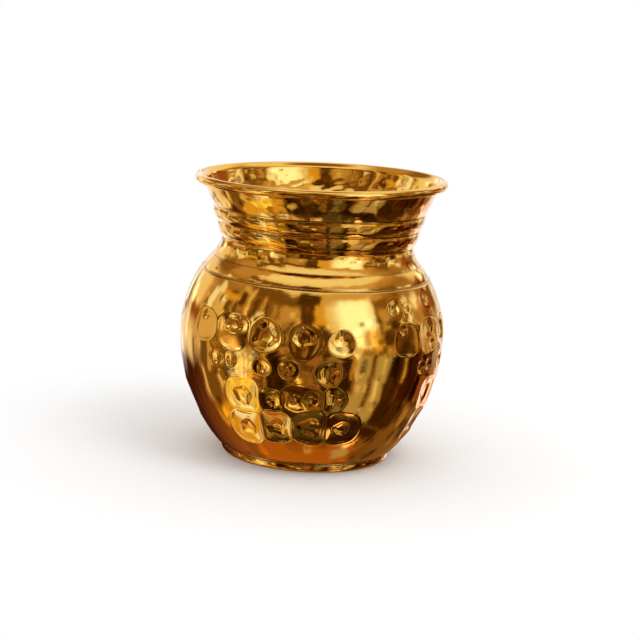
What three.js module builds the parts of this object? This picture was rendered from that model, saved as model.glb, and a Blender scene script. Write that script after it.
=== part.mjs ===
// A small hammered brass kalash: a round belly, a ribbed flared neck with a wired rim, and a foot ring.
// Millimetres, +Z up, standing on the foot ring at z = 0. Bearing 0 faces -Y, and bearings grow to +X.

import * as THREE from 'three';
import { ConvexHull } from 'three/addons/math/ConvexHull.js';

// Belly: a lower and an upper half ellipse that meet at the widest ring
const bellyRadius = 35;
const bellyHeight = 33;          // height of the widest ring
const lowerReach = 41;           // half height of the lower ellipse
const upperReach = 32.3;         // half height of the upper ellipse
const bowlSheet = 0.7;

// Foot ring, and the bottom of the bowl above it
const footRadius = 22.5;
const footWidth = 2.6;
const footHeight = 2;
const footRounding = 1.4;        // radius of the foot's lower outer edge
const footChamfer = 0.6;         // of the foot's lower inner edge
const turnHeight = 1.1;          // the bend from the flat seat into the belly
const seatMargin = 0.3;          // flat seat left on each side of the foot
const bottomRise = 1.5;          // how far the middle of the bottom is pushed up

// Neck: collar, waist, two ribs, a plain band, and a lip rolled round a wire
const neckSheet = 0.5;
const seamHeight = 49.5;         // lower edge of the collar
const setIn = 0.4;               // how far the collar's edge lies inside the edge of the shoulder
const creaseRadius = 27.35;
const creaseHeight = 52.8;
const waistRadius = 25.35;
const waistHeight = 57.8;
const lowerGrooveRadius = 26.65;
const lowerGrooveHeight = 62.1;
const upperGrooveRadius = 27.85;
const upperGrooveHeight = 66.1;
const lipRadius = 30.6;
const lipHeight = 73;
const ribSwell = 0.38;           // how far a rib stands out past a straight wall
const bandSwell = 0.12;
const rimFlare = 2.6;            // how far the rolled rim reaches out past the lip's corner
const rimRise = 1.6;             // how far it rises above that corner
const beadRadius = 1.15;         // outside of the rolled rim
const curlSlit = 0.3;            // left open between the curled edge and the wall
const wireClearance = 0.2;

// Brazed joints
const brazeGap = 0.3;            // thickness of a braze ring
const lap = 3;                   // how far the bowl's mouth runs up inside the collar
const lapClearance = 0.3;

// Hammer marks, struck in four panels round the belly. A mark is a shallow dish with a smaller, sharper
// pit in it. Bearings are from the panel's middle line, and `right` and `up` place the pit in the dish.
const panelBearings = [ 0, 96, 181, 265 ];
const panelMarks = [
	{ bearing: - 51.5, height: 37.4, radius: 4.3, pit: 1.2, right: - 0.7, up: 2.4 },
	{ bearing: - 35, height: 37.3, radius: 4.9, pit: 2.3, right: 0, up: 2 },
	{ bearing: - 18.5, height: 37.4, radius: 4.3, pit: 3, right: 0, up: 0.1 },
	{ bearing: - 2.5, height: 36.9, radius: 4.1, pit: 2.6, right: - 0.3, up: 1.4 },
	{ bearing: 13, height: 37.1, radius: 3.5, pit: 1.8, right: 0, up: 1.2 },
	{ bearing: - 41.5, height: 29.8, radius: 2.5, pit: 1.8, right: - 0.2, up: 0 },
	{ bearing: - 35, height: 30.2, radius: 2.1, pit: 1.3, right: 0.1, up: 0 },
	{ bearing: - 20, height: 29.6, radius: 2.5, pit: 1.4, right: 0, up: 0 },
	{ bearing: - 8.5, height: 29.7, radius: 2.7, pit: 1.5, right: 0, up: 0.2 },
	{ bearing: 9, height: 29.4, radius: 3.6, pit: 2.1, right: 0, up: - 0.2 },
	{ bearing: - 29.5, height: 21.5, radius: 4.7, pit: 2.6, right: - 0.1, up: - 0.3 },
	{ bearing: - 15.5, height: 21.2, radius: 3.5, pit: 1.5, right: 0.3, up: - 0.5 },
	{ bearing: - 5.5, height: 22.2, radius: 3.2, pit: 1.3, right: 0.3, up: 0 },
	{ bearing: 1, height: 22.1, radius: 3.2, pit: 1.4, right: 0, up: - 0.2 },
	{ bearing: 11.5, height: 22.4, radius: 3.4, pit: 1.6, right: 0, up: 0 },
	{ bearing: - 29.5, height: 12.7, radius: 5, pit: 2.2, right: 0.3, up: - 0.5 },
	{ bearing: - 14, height: 13.7, radius: 5, pit: 2.3, right: 0, up: - 0.3 },
	{ bearing: 1.5, height: 14.3, radius: 5, pit: 2.8, right: 0, up: 0 },
	{ bearing: 17, height: 14.3, radius: 4.9, pit: 2, right: 0, up: - 0.2 },
];
const strayMarks = [
	{ bearing: 39.5, height: 44.9, radius: 2.7, pit: 1.3 },
	{ bearing: 46.5, height: 44.8, radius: 1.1, pit: 0.6 },
	{ bearing: 63.5, height: 46, radius: 2.6, pit: 1.3 },
	{ bearing: 64, height: 34.7, radius: 2.1, pit: 1.1 },
];
const hammerRadius = 15;         // of the hammer's rounded face, which sets how deep a dish is
const pitDepth = 0.26;           // of a pit at least `fullPit` in radius
const fullPit = 1.5;
const wanderAlong = 0.7;         // how far a mark strays from its place in the panels after the first
const wanderUp = 0.5;
const pitWander = 0.5;

// How fine the facets are
const sides = 48;
const markSpacing = 1;           // least distance between points of the marks
const rimStep = 2.8;             // points round a mark
const pitSides = 5;
const fillPitch = 3.4;           // points on the plain belly

const stepHeight = seamHeight - brazeGap;
const seatHeight = footHeight + brazeGap;
const collarRadius = bellyRadiusAt( stepHeight ) - setIn;
const collarLean = ( creaseRadius - collarRadius ) / ( creaseHeight - seamHeight );
const bellyCentre = new THREE.Vector3( 0, 0, bellyHeight );

// Places round the axis

function turned( radius, height, angle ) {

	return new THREE.Vector3( radius * Math.sin( angle ), - radius * Math.cos( angle ), height );

}

function bellyReach( height ) {

	return height > bellyHeight ? upperReach : lowerReach;

}

function bellyRadiusAt( height ) {

	return bellyRadius * Math.sqrt( 1 - ( ( height - bellyHeight ) / bellyReach( height ) ) ** 2 );

}

// The point of the plain belly that lies in the same direction from its centre
function onBelly( point ) {

	const arm = point.clone().sub( bellyCentre );
	const reach = bellyReach( point.z );
	const scale = Math.hypot( arm.x / bellyRadius, arm.y / bellyRadius, arm.z / reach );
	return arm.divideScalar( scale ).add( bellyCentre );

}

function bellyNormal( point ) {

	const across = bellyRadius ** 2;
	const along = bellyReach( point.z ) ** 2;
	const rise = point.z - bellyHeight;
	return new THREE.Vector3( point.x / across, point.y / across, rise / along ).normalize();

}

// The point of the belly that lies some way to the right of and above another one
function besideOnBelly( point, right, rise ) {

	const normal = bellyNormal( point );
	const east = new THREE.Vector3( - point.y, point.x, 0 ).normalize();
	const north = normal.clone().cross( east );
	return onBelly( point.clone().addScaledVector( east, right ).addScaledVector( north, rise ) );

}

// Hammer marks

// An uneven number from -1 to 1 for each whole number
function uneven( number ) {

	return Math.sin( number * 12.9 ) * Math.cos( number * 4.7 );

}

function strike( bearing, height, radius, pit, right, up ) {

	const centre = onBelly( turned( bellyRadiusAt( height ), height, THREE.MathUtils.degToRad( bearing ) ) );
	const depth = radius ** 2 / ( 2 * hammerRadius );
	const deepening = pitDepth * Math.min( 1, pit / fullPit );
	return { centre, radius, depth, pit, deepening, pitCentre: besideOnBelly( centre, right, up ) };

}

function hammerMarks() {

	const marks = [];
	panelBearings.forEach( ( turn, panel ) => {

		// The first panel is as listed. In the others, each mark and its pit stray a little.
		const loose = panel > 0 ? 1 : 0;
		panelMarks.forEach( ( mark, i ) => {

			const number = panel * panelMarks.length + i;
			const along = THREE.MathUtils.radToDeg( wanderAlong * uneven( number ) / bellyRadius );
			const bearing = turn + mark.bearing + loose * along;
			const height = mark.height + loose * wanderUp * uneven( number + 7 );
			const right = mark.right + loose * pitWander * uneven( number + 3 );
			const up = mark.up + loose * pitWander * uneven( number + 11 );
			marks.push( strike( bearing, height, mark.radius, mark.pit, right, up ) );

		} );

	} );
	for ( const { bearing, height, radius, pit } of strayMarks ) {

		marks.push( strike( bearing, height, radius, pit, 0, 0 ) );

	}

	return marks;

}

// A dish or a pit is a paraboloid: deepest in the middle, and nothing at its rim
function hollow( centre, radius, depth, point ) {

	return depth * ( 1 - point.distanceToSquared( centre ) / radius ** 2 );

}

function dishDepth( mark, point ) {

	return hollow( mark.centre, mark.radius, mark.depth, point );

}

// Where marks meet, the deeper one counts, which leaves a ridge between them
function depthAt( marks, point ) {

	const dishes = marks.map( mark => dishDepth( mark, point ) );
	const pits = marks.map( mark => hollow( mark.pitCentre, mark.pit, mark.deepening, point ) );
	return Math.max( 0, ...dishes ) + Math.max( 0, ...pits );

}

// Points of the belly, close together on the marks and wide apart on the plain metal

function addApart( points, point, distance ) {

	if ( points.every( other => other.distanceTo( point ) >= distance ) ) points.push( point );

}

// The rim of a mark, drawn in to the ridge where a neighbour cuts into it
function rimPoint( marks, mark, angle ) {

	const others = marks.filter( other => other !== mark );
	const at = reach => besideOnBelly( mark.centre, reach * Math.cos( angle ), reach * Math.sin( angle ) );
	const overrun = point => {

		const depth = Math.max( 0, dishDepth( mark, point ) );
		return others.some( other => dishDepth( other, point ) > depth );

	};

	let reach = mark.radius;
	while ( reach > mark.pit && overrun( at( reach ) ) ) reach *= 0.97;
	return at( reach );

}

function bellyPoints( marks, lowest, highest ) {

	const points = [ ...ringPoints( lowest ), ...ringPoints( highest ) ];
	for ( const mark of marks ) addApart( points, mark.pitCentre, markSpacing );
	for ( const mark of marks ) {

		for ( let i = 0; i < pitSides; i ++ ) {

			const angle = ( i + 0.25 ) / pitSides * 2 * Math.PI;
			const right = mark.pit * Math.cos( angle );
			const rise = mark.pit * Math.sin( angle );
			addApart( points, besideOnBelly( mark.pitCentre, right, rise ), markSpacing );

		}

	}

	for ( const mark of marks ) {

		const count = Math.round( 2 * Math.PI * mark.radius / rimStep );
		for ( let i = 0; i < count; i ++ ) {

			addApart( points, rimPoint( marks, mark, i / count * 2 * Math.PI ), markSpacing );

		}

	}

	const rows = Math.round( ( highest.y - lowest.y ) / fillPitch );
	for ( let row = 1; row < rows; row ++ ) {

		const height = lowest.y + ( highest.y - lowest.y ) * row / rows;
		const radius = bellyRadiusAt( height );
		const count = Math.round( 2 * Math.PI * radius / fillPitch );
		for ( let i = 0; i < count; i ++ ) {

			const point = turned( radius, height, ( i + row / 2 ) / count * 2 * Math.PI );
			if ( depthAt( marks, point ) === 0 ) addApart( points, point, fillPitch / 2 );

		}

	}

	return points;

}

// Outlines, as lists of points (radius, height)

function ringPoints( place ) {

	return Array.from( { length: sides }, ( _, i ) => turned( place.x, place.y, i / sides * 2 * Math.PI ) );

}

function bow( from, bend, to, steps ) {

	return new THREE.QuadraticBezierCurve( from, bend, to ).getPoints( steps ).slice( 1 );

}

// A straight wall that swells by a set amount in the middle
function swollen( from, to, swell, steps ) {

	const along = to.clone().sub( from ).normalize();
	const bend = from.clone().add( to ).multiplyScalar( 0.5 );
	bend.add( new THREE.Vector2( along.y, - along.x ).multiplyScalar( 2 * swell ) );
	return bow( from, bend, to, steps );

}

function sideOf( from, to ) {

	const along = to.clone().sub( from ).normalize();
	return new THREE.Vector2( along.y, - along.x );

}

// The way that a corner moves when both of its walls move outward by 1
function mitre( before, after ) {

	return before.clone().add( after ).divideScalar( 1 + before.dot( after ) );

}

function mitres( line, before, after ) {

	return line.map( ( point, i ) => mitre(
		i > 0 ? sideOf( line[ i - 1 ], point ) : before || sideOf( point, line[ 1 ] ),
		i < line.length - 1 ? sideOf( point, line[ i + 1 ] ) : after || sideOf( line[ i - 1 ], point )
	) );

}

function revolve( outline ) {

	return new THREE.LatheGeometry( [ ...outline, outline[ 0 ] ], sides ).rotateX( Math.PI / 2 );

}

// Bowl

function collarOffset( height, depth ) {

	return collarRadius + collarLean * ( height - seamHeight ) - depth * Math.hypot( 1, collarLean );

}

// The outside of the bottom, from the axis out to the belly
function bottomLine() {

	const seatInner = new THREE.Vector2( footRadius - footWidth - seatMargin, seatHeight );
	const seatOuter = new THREE.Vector2( footRadius - seatMargin, seatHeight );
	const middle = new THREE.Vector2( 0, seatHeight + bottomRise );
	const brow = new THREE.Vector2( seatInner.x - bottomRise, seatHeight + bottomRise * 0.8 );
	const end = new THREE.Vector2( bellyRadiusAt( seatHeight + turnHeight ), seatHeight + turnHeight );
	const slope = bellySlope( end );
	const bend = new THREE.Vector2( end.x + slope.x / slope.y * ( seatHeight - end.y ), seatHeight );
	return [ middle, brow, seatInner, seatOuter, ...bow( seatOuter, bend, end, 3 ) ];

}

function bellySide( place ) {

	const normal = bellyNormal( new THREE.Vector3( place.x, 0, place.y ) );
	return new THREE.Vector2( normal.x, normal.z );

}

function bellySlope( place ) {

	const side = bellySide( place );
	return new THREE.Vector2( - side.y, side.x );

}

// The outside of the mouth: a flat step in, and a spigot that follows the inside of the collar
function mouthLine() {

	const depth = neckSheet + lapClearance;
	const top = stepHeight + lap;
	return [
		new THREE.Vector2( bellyRadiusAt( stepHeight ), stepHeight ),
		new THREE.Vector2( collarOffset( stepHeight, depth ), stepHeight ),
		new THREE.Vector2( collarOffset( top, depth ), top ),
	];

}

function bowlGeometry() {

	const bottom = bottomLine();
	const mouth = mouthLine();
	const lowest = bottom.at( - 1 );
	const bottomMitres = mitres( bottom, new THREE.Vector2( 0, - 1 ), bellySide( lowest ) );
	const mouthMitres = mitres( mouth, bellySide( mouth[ 0 ] ) );
	const marks = hammerMarks();
	const belly = bellyPoints( marks, lowest, mouth[ 0 ] );

	// Each place has its point on the outside, and the way to it from the inside of the sheet
	const places = [];
	const corners = [];
	const addRing = ( place, way ) => ringPoints( place ).map( ( point, i ) => {

		places.push( { point, way: turned( way.x, way.y, i / sides * 2 * Math.PI ) } );
		return places.length - 1;

	} );
	const joinRings = ( low, high ) => low.forEach( ( corner, i ) => {

		const next = ( i + 1 ) % sides;
		corners.push( [ corner, low[ next ], high[ next ] ], [ corner, high[ next ], high[ i ] ] );

	} );

	// Belly: the hull of its points gives the facets, and the marks then push the points in
	const endWays = [ ...ringPoints( bottomMitres.at( - 1 ) ), ...ringPoints( mouthMitres[ 0 ] ) ];
	belly.forEach( ( point, i ) => {

		const normal = bellyNormal( point );
		const struck = point.clone().addScaledVector( normal, - depthAt( marks, point ) );
		places.push( { point: struck, way: endWays[ i ] || normal } );

	} );
	const number = new Map( belly.map( ( point, i ) => [ point, i ] ) );
	const isLow = i => i < sides;
	const isHigh = i => i >= sides && i < 2 * sides;
	for ( const { edge } of new ConvexHull().setFromPoints( belly ).faces ) {

		const corner = [ edge, edge.next, edge.next.next ].map( side => number.get( side.head().point ) );
		if ( ! corner.every( isLow ) && ! corner.every( isHigh ) ) corners.push( corner );

	}

	const lowRing = Array.from( { length: sides }, ( _, i ) => i );
	const highRing = lowRing.map( i => i + sides );

	// Bottom
	places.push( { point: turned( 0, bottom[ 0 ].y, 0 ), way: new THREE.Vector3( 0, 0, - 1 ) } );
	const pole = places.length - 1;
	const bottomRings = bottomMitres.slice( 1, - 1 ).map( ( way, i ) => addRing( bottom[ i + 1 ], way ) );
	const first = bottomRings[ 0 ];
	first.forEach( ( corner, i ) => corners.push( [ pole, first[ ( i + 1 ) % sides ], corner ] ) );
	[ ...bottomRings, lowRing ].reduce( ( low, high ) => ( joinRings( low, high ), high ) );

	// Mouth
	const mouthRings = mouthMitres.slice( 1 ).map( ( way, i ) => addRing( mouth[ i + 1 ], way ) );
	[ highRing, ...mouthRings ].reduce( ( low, high ) => ( joinRings( low, high ), high ) );

	// The inside is the outside moved in by the sheet, turned round, and joined on at the mouth's edge
	const count = places.length;
	const inside = places.map( ( { point, way } ) => point.clone().addScaledVector( way, - bowlSheet ) );
	const insideCorners = corners.map( ( [ a, b, c ] ) => [ a + count, c + count, b + count ] );
	joinRings( mouthRings.at( - 1 ), mouthRings.at( - 1 ).map( i => i + count ) );

	const outside = places.map( place => place.point );
	const geometry = new THREE.BufferGeometry().setFromPoints( [ ...outside, ...inside ] );
	geometry.setIndex( [ ...corners, ...insideCorners ].flat() );
	geometry.computeVertexNormals();
	return geometry;

}

// Neck

const lip = new THREE.Vector2( lipRadius, lipHeight );
const beadCentre = new THREE.Vector2( rimFlare - beadRadius, rimRise - beadRadius ).add( lip );
const curlRadius = beadRadius - neckSheet;

// A point of a circle round the middle of the rolled rim
function onCircle( radius, angle ) {

	const { x, y } = beadCentre;
	return new THREE.Vector2( x + radius * Math.cos( angle ), y + radius * Math.sin( angle ) );

}

// The face of the sheet that is outside on the neck and inside in the rolled rim
function neckFace() {

	const collar = new THREE.Vector2( collarRadius, seamHeight );
	const crease = new THREE.Vector2( creaseRadius, creaseHeight );
	const waist = new THREE.Vector2( waistRadius, waistHeight );
	const lowerGroove = new THREE.Vector2( lowerGrooveRadius, lowerGrooveHeight );
	const upperGroove = new THREE.Vector2( upperGrooveRadius, upperGrooveHeight );
	const bend = new THREE.Vector2( waistRadius, ( creaseHeight + waistHeight ) / 2 );

	// The lip runs straight from its corner, touches the curl at its start, and follows it over the top
	const arm = lip.clone().sub( beadCentre );
	const start = arm.angle() - Math.acos( curlRadius / arm.length() );
	const end = start - 2 * Math.PI + Math.acos( ( curlRadius - curlSlit ) / beadRadius );
	const steps = 10;
	const curl = Array.from( { length: steps + 1 }, ( _, i ) => {

		const angle = start + ( end - start ) * i / steps;
		return onCircle( curlRadius, angle );

	} );
	return [
		collar,
		crease,
		...bow( crease, bend, waist, 2 ),
		...swollen( waist, lowerGroove, ribSwell, 3 ),
		...swollen( lowerGroove, upperGroove, ribSwell, 3 ),
		...swollen( upperGroove, lip, bandSwell, 2 ),
		...curl,
	];

}

function neckGeometry() {

	const face = neckFace();
	const ways = mitres( face );
	ways[ 0 ] = new THREE.Vector2( Math.hypot( 1, collarLean ), 0 );   // the collar's edge is cut level
	const back = face.map( ( point, i ) => point.clone().addScaledVector( ways[ i ], - neckSheet ) );
	return revolve( [ ...face, ...back.reverse() ] );

}

function wireGeometry() {

	const radius = curlRadius - wireClearance;
	const count = 8;
	return revolve( Array.from( { length: count }, ( _, i ) => {

		return onCircle( radius, i / count * 2 * Math.PI );

	} ) );

}

// Foot ring

function footGeometry() {

	const inner = footRadius - footWidth;
	const flatEnd = new THREE.Vector2( footRadius - footRounding, 0 );
	const wallStart = new THREE.Vector2( footRadius, footRounding );
	return revolve( [
		new THREE.Vector2( inner + footChamfer, 0 ),
		flatEnd,
		...bow( flatEnd, new THREE.Vector2( footRadius, 0 ), wallStart, 3 ),
		new THREE.Vector2( footRadius, footHeight ),
		new THREE.Vector2( inner, footHeight ),
		new THREE.Vector2( inner, footChamfer ),
	] );

}

// A braze ring fills a joint between two level faces, and its outer edge is slightly rounded
function brazeGeometry( inner, outer, bottom ) {

	return revolve( [
		new THREE.Vector2( inner, bottom ),
		new THREE.Vector2( outer, bottom ),
		new THREE.Vector2( outer + brazeGap / 4, bottom + brazeGap / 2 ),
		new THREE.Vector2( outer, bottom + brazeGap ),
		new THREE.Vector2( inner, bottom + brazeGap ),
	] );

}

function seamBrazeGeometry() {

	const spigot = collarOffset( stepHeight, neckSheet + lapClearance );
	return brazeGeometry( spigot + lapClearance, collarRadius, stepHeight );

}

function footBrazeGeometry() {

	return brazeGeometry( footRadius - footWidth + seatMargin, footRadius - seatMargin, footHeight );

}

// Finishes

const finish = ( color, roughness ) => ( { color, roughness, metalness: 1 } );
const polishedBrass = () => new THREE.MeshStandardMaterial( finish( 0xe0a93a, 0.12 ) );
const drawnWire = () => new THREE.MeshStandardMaterial( finish( 0xb98d38, 0.35 ) );
const braze = () => new THREE.MeshStandardMaterial( finish( 0xe6c064, 0.3 ) );

const kalash = new THREE.Group();

function addPiece( name, geometry, material ) {

	const piece = new THREE.Mesh( geometry, material );
	piece.name = name;
	kalash.add( piece );

}

addPiece( 'bowl', bowlGeometry(), polishedBrass() );
addPiece( 'neck', neckGeometry(), polishedBrass() );
addPiece( 'rim_wire', wireGeometry(), drawnWire() );
addPiece( 'foot_ring', footGeometry(), polishedBrass() );
addPiece( 'neck_seam_braze', seamBrazeGeometry(), braze() );
addPiece( 'foot_seam_braze', footBrazeGeometry(), braze() );

export default kalash;
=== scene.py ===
import math

import bpy
import numpy as np
from mathutils import Matrix, Vector


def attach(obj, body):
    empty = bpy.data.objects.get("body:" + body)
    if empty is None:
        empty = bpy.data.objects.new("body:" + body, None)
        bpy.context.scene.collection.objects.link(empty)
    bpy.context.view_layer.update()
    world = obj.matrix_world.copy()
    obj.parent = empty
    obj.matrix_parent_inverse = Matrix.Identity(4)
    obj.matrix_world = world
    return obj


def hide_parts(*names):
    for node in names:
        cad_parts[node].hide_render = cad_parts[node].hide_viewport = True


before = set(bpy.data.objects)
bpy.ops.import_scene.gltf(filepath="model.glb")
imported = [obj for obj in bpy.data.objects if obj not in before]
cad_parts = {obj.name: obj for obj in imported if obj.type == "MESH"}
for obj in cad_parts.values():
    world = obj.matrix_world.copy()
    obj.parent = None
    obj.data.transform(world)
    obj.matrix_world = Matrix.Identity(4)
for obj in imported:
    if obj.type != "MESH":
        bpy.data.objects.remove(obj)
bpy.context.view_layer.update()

# A small hammered brass kalash: round belly, ribbed flared neck with a wired rim, foot ring.
# Sizes are in millimetres and become metres where the mesh is made. Bearing 0 faces -Y and grows to +X.


# shapes: outlines are arrays of (radius, height), and a surface is a grid of rows by columns

def turned(radius, height, angle):
    # a point round the axis: (r sin a, -r cos a, h)
    radius, height, angle = np.broadcast_arrays(radius, height, angle)
    return np.stack([radius * np.sin(angle), -radius * np.cos(angle), height], axis=-1)


def unit(v):
    return v / np.linalg.norm(v, axis=-1, keepdims=True)


def sideOf(line):
    # the way out of a line that is followed upwards: its direction (x, y) turned to (y, -x)
    way = unit(np.gradient(np.asarray(line, float), axis=0))
    return np.column_stack([way[:, 1], -way[:, 0]])


def evenAlong(line, count):
    # points at even distances along a line, by interpolation over its running length
    line = np.asarray(line, float)
    run = np.concatenate([[0], np.cumsum(np.hypot(*np.diff(line, axis=0).T))])
    at = np.linspace(0, run[-1], count)
    return np.column_stack([np.interp(at, run, line[:, 0]), np.interp(at, run, line[:, 1])])


def softCorners(corners, cut, steps):
    # each inner corner p becomes a curve (1-t)^2 a + 2t(1-t) p + t^2 b, with a and b at `cut` from p
    corners = np.asarray(corners, float)
    cut = np.broadcast_to(np.asarray(cut, float), len(corners) - 2)[:, None]
    here = corners[1:-1]
    a = here + unit(corners[:-2] - here) * cut
    b = here + unit(corners[2:] - here) * cut
    t = np.linspace(0, 1, steps)[None, :, None]
    curve = (1 - t) ** 2 * a[:, None] + 2 * t * (1 - t) * here[:, None] + t ** 2 * b[:, None]
    return np.vstack([corners[:1], curve.reshape(-1, 2), corners[-1:]])


def mitred(corners, depth, first=None, last=None):
    # each corner moved in by `depth` from both of its walls: -(b + a) / (1 + b.a) * depth
    corners = np.asarray(corners, float)
    way = unit(np.diff(corners, axis=0))
    side = np.column_stack([way[:, 1], -way[:, 0]])
    before = np.vstack([side[:1] if first is None else [first], side])
    after = np.vstack([side, side[-1:] if last is None else [last]])
    together = 1 + np.sum(before * after, axis=1, keepdims=True)
    return corners - depth * (before + after) / together


def swollen(start, end, swell, count):
    # a straight wall that bows out by `swell` in the middle: s + t (e - s) + 4 t (1-t) swell side
    start, end = np.asarray(start, float), np.asarray(end, float)
    t = np.linspace(0, 1, count)[1:, None]
    way = unit(end - start)
    return start + t * (end - start) + 4 * t * (1 - t) * swell * np.array([way[1], -way[0]])


def bow(start, bend, end, count):
    # quadratic curve from start to end, drawn towards bend
    start, bend, end = (np.asarray(p, float) for p in (start, bend, end))
    t = np.linspace(0, 1, count)[1:, None]
    return (1 - t) ** 2 * start + 2 * t * (1 - t) * bend + t ** 2 * end


def gridMesh(name, points, closedRows, poles=(None, None), closedColumns=True):
    # points[row, column]: quads join neighbours, closed rows or columns also join the last one to the first,
    # and a pole closes an end with triangles
    rows, columns = points.shape[:2]
    number = np.arange(rows * columns).reshape(rows, columns)
    low = number if closedRows else number[:-1]
    high = np.roll(number, -1, axis=0) if closedRows else number[1:]
    beside = lambda block: np.roll(block, -1, axis=1)
    quads = np.stack([low, beside(low), beside(high), high], axis=-1)
    quads = (quads if closedColumns else quads[:, :-1]).reshape(-1, 4)
    vertices = points.reshape(-1, 3)
    fans = []
    for pole, ring, flip in ((poles[0], number[0], True), (poles[1], number[-1], False)):
        if pole is not None:
            tip = np.full_like(ring, len(vertices))
            vertices = np.vstack([vertices, [pole]])
            ahead = np.roll(ring, -1)
            fans.append(np.stack([ahead, ring, tip] if flip else [ring, ahead, tip], axis=-1))
    fans = np.concatenate(fans) if fans else np.zeros((0, 3), int)
    mesh = bpy.data.meshes.new(name)
    mesh.vertices.add(len(vertices))
    mesh.vertices.foreach_set("co", (vertices * 0.001).astype(np.float32).ravel())
    loops = np.concatenate([quads.ravel(), fans.ravel()])
    starts = np.concatenate([np.arange(len(quads)) * 4, len(quads) * 4 + np.arange(len(fans)) * 3])
    mesh.loops.add(len(loops))
    mesh.loops.foreach_set("vertex_index", loops.astype(np.int32))
    mesh.polygons.add(len(starts))
    mesh.polygons.foreach_set("loop_start", starts.astype(np.int32))
    mesh.update(calc_edges=True)
    mesh.polygons.foreach_set("use_smooth", np.ones(len(starts), bool))
    mesh.validate()
    piece = bpy.data.objects.new(name, mesh)
    bpy.context.scene.collection.objects.link(piece)
    return piece


def angles(columns):
    # even steps of one full turn
    return np.arange(columns) / columns * 2 * np.pi


# belly

belly = dict(radius=35, widest=33, lowerReach=41, upperReach=32.3, sheet=0.7,
             rows=118, insideRows=36, columns=456, fineSteps=900)

# how far the bowl's corners are cut for their rounding, in mm, and the points of each curve
bowlCorners = dict(bottom=((1.2, 0.25, 0.1), 7), bottomInside=((1.2, 0.3, 0.1), 5),
                   mouth=(0.08, 4), mouthInside=(0.1, 4), rim=(0.1, 3))

seam = dict(height=49.5, gap=0.3, lap=3, clearance=0.3, setIn=0.4)

foot = dict(radius=22.5, width=2.6, height=2, rounding=1.4, chamfer=0.6, gap=0.3, margin=0.3,
            turn=1.1, turnSteps=9, rise=1.5, browShare=0.8, roundSteps=14, topCut=0.12, chamferCut=0.15,
            cutSteps=5, columns=400)

# hammer marks of one panel: bearing, to which the panel's turn is added, height, half width, half height,
# squareness (2 is round), then where its pit lies to the right and up, and the pit's radius
panelMarks = np.array([
    (-51.5, 37.4, 4.3, 4.3, 2.6, -0.7, 2.4, 1.2),
    (-35.0, 37.3, 5.1, 4.6, 3.0, 0.0, 2.0, 2.3),
    (-19.5, 37.6, 4.3, 4.3, 2.0, 0.0, 0.1, 3.0),
    (-2.5, 36.9, 3.8, 4.5, 2.0, -0.3, 1.4, 2.6),
    (13.0, 37.1, 3.5, 3.4, 2.0, 0.0, 1.2, 1.8),
    (-41.5, 29.8, 2.6, 2.4, 2.0, -0.2, 0.0, 1.8),
    (-35.0, 30.2, 2.1, 2.1, 2.0, 0.1, 0.0, 1.3),
    (-20.0, 29.6, 2.6, 2.4, 2.0, 0.0, 0.0, 1.4),
    (-8.5, 29.7, 2.8, 2.6, 2.0, 0.0, 0.2, 1.5),
    (8.0, 29.4, 3.6, 3.5, 2.0, 0.0, -0.2, 2.1),
    (-29.5, 21.5, 4.7, 4.8, 3.0, -0.1, -0.3, 2.6),
    (-15.5, 21.2, 3.5, 3.5, 2.6, 0.3, -0.5, 1.5),
    (-2.3, 22.1, 6.1, 3.6, 2.3, -1.8, 0.0, 1.4),
    (1.2, 22.0, 2.3, 2.4, 2.0, 0.0, -0.2, 1.5),
    (11.5, 22.4, 3.2, 3.6, 2.0, 0.0, 0.0, 1.6),
    (-29.5, 12.7, 4.6, 5.5, 2.8, 0.3, -0.5, 2.2),
    (-14.0, 13.7, 4.6, 5.3, 2.8, 0.0, -0.3, 2.3),
    (1.5, 14.3, 4.6, 5.4, 2.8, 0.0, 0.0, 2.8),
    (17.0, 14.3, 4.7, 5.1, 2.8, 0.0, -0.2, 2.0),
])

# single marks outside the panels, in the same form
strayMarks = np.array([
    (39.5, 44.9, 2.7, 2.7, 2.0, 0.0, 0.0, 1.3),
    (46.5, 44.8, 1.1, 1.1, 2.0, 0.0, 0.0, 0.6),
    (63.5, 46.0, 2.6, 2.5, 2.0, 0.0, 0.0, 1.3),
    (64.0, 34.7, 2.2, 2.0, 2.0, 0.0, 0.0, 1.1),
])

# panels are their turns in degrees, and the faces are the radii of the hammers' faces
hammer = dict(panels=(0, 96, 181, 265), roundFace=15, flatFace=26, pitDepth=0.26, fullPit=1.5,
              wanderAlong=0.7, wanderUp=0.5, pitWander=0.5, lip=0.062, pitLip=0.031, lipWidth=0.40,
              sway=0.09, pitSway=0.2, pitRipple=0.6)

# heights in mm of the sheet's slow waves, and the distance in which they fade out at both ends
sheetWaves = dict(broad=0.030, slanting=0.020, fine=0.010, steep=0.012, fade=2.5)


def bellyReach(height):
    return np.where(height > belly["widest"], belly["upperReach"], belly["lowerReach"])


def bellyRadiusAt(height):
    # r = R sqrt(1 - ((h - widest) / reach)^2)
    return belly["radius"] * np.sqrt(1 - ((height - belly["widest"]) / bellyReach(height)) ** 2)


def bellyNormal(point):
    # (x / R^2, y / R^2, (z - widest) / reach^2), made a unit vector
    flat = point[..., :2] / belly["radius"] ** 2
    tall = (point[..., 2:] - belly["widest"]) / bellyReach(point[..., 2:]) ** 2
    return unit(np.concatenate([flat, tall], axis=-1))


def bellySide(radius, height):
    normal = bellyNormal(np.array([radius, 0, height], float))
    return normal[[0, 2]]


def uneven(number):
    # an uneven number from -1 to 1 for each whole number: sin(12.9 n) cos(4.7 n)
    return np.sin(number * 12.9) * np.cos(number * 4.7)


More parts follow.
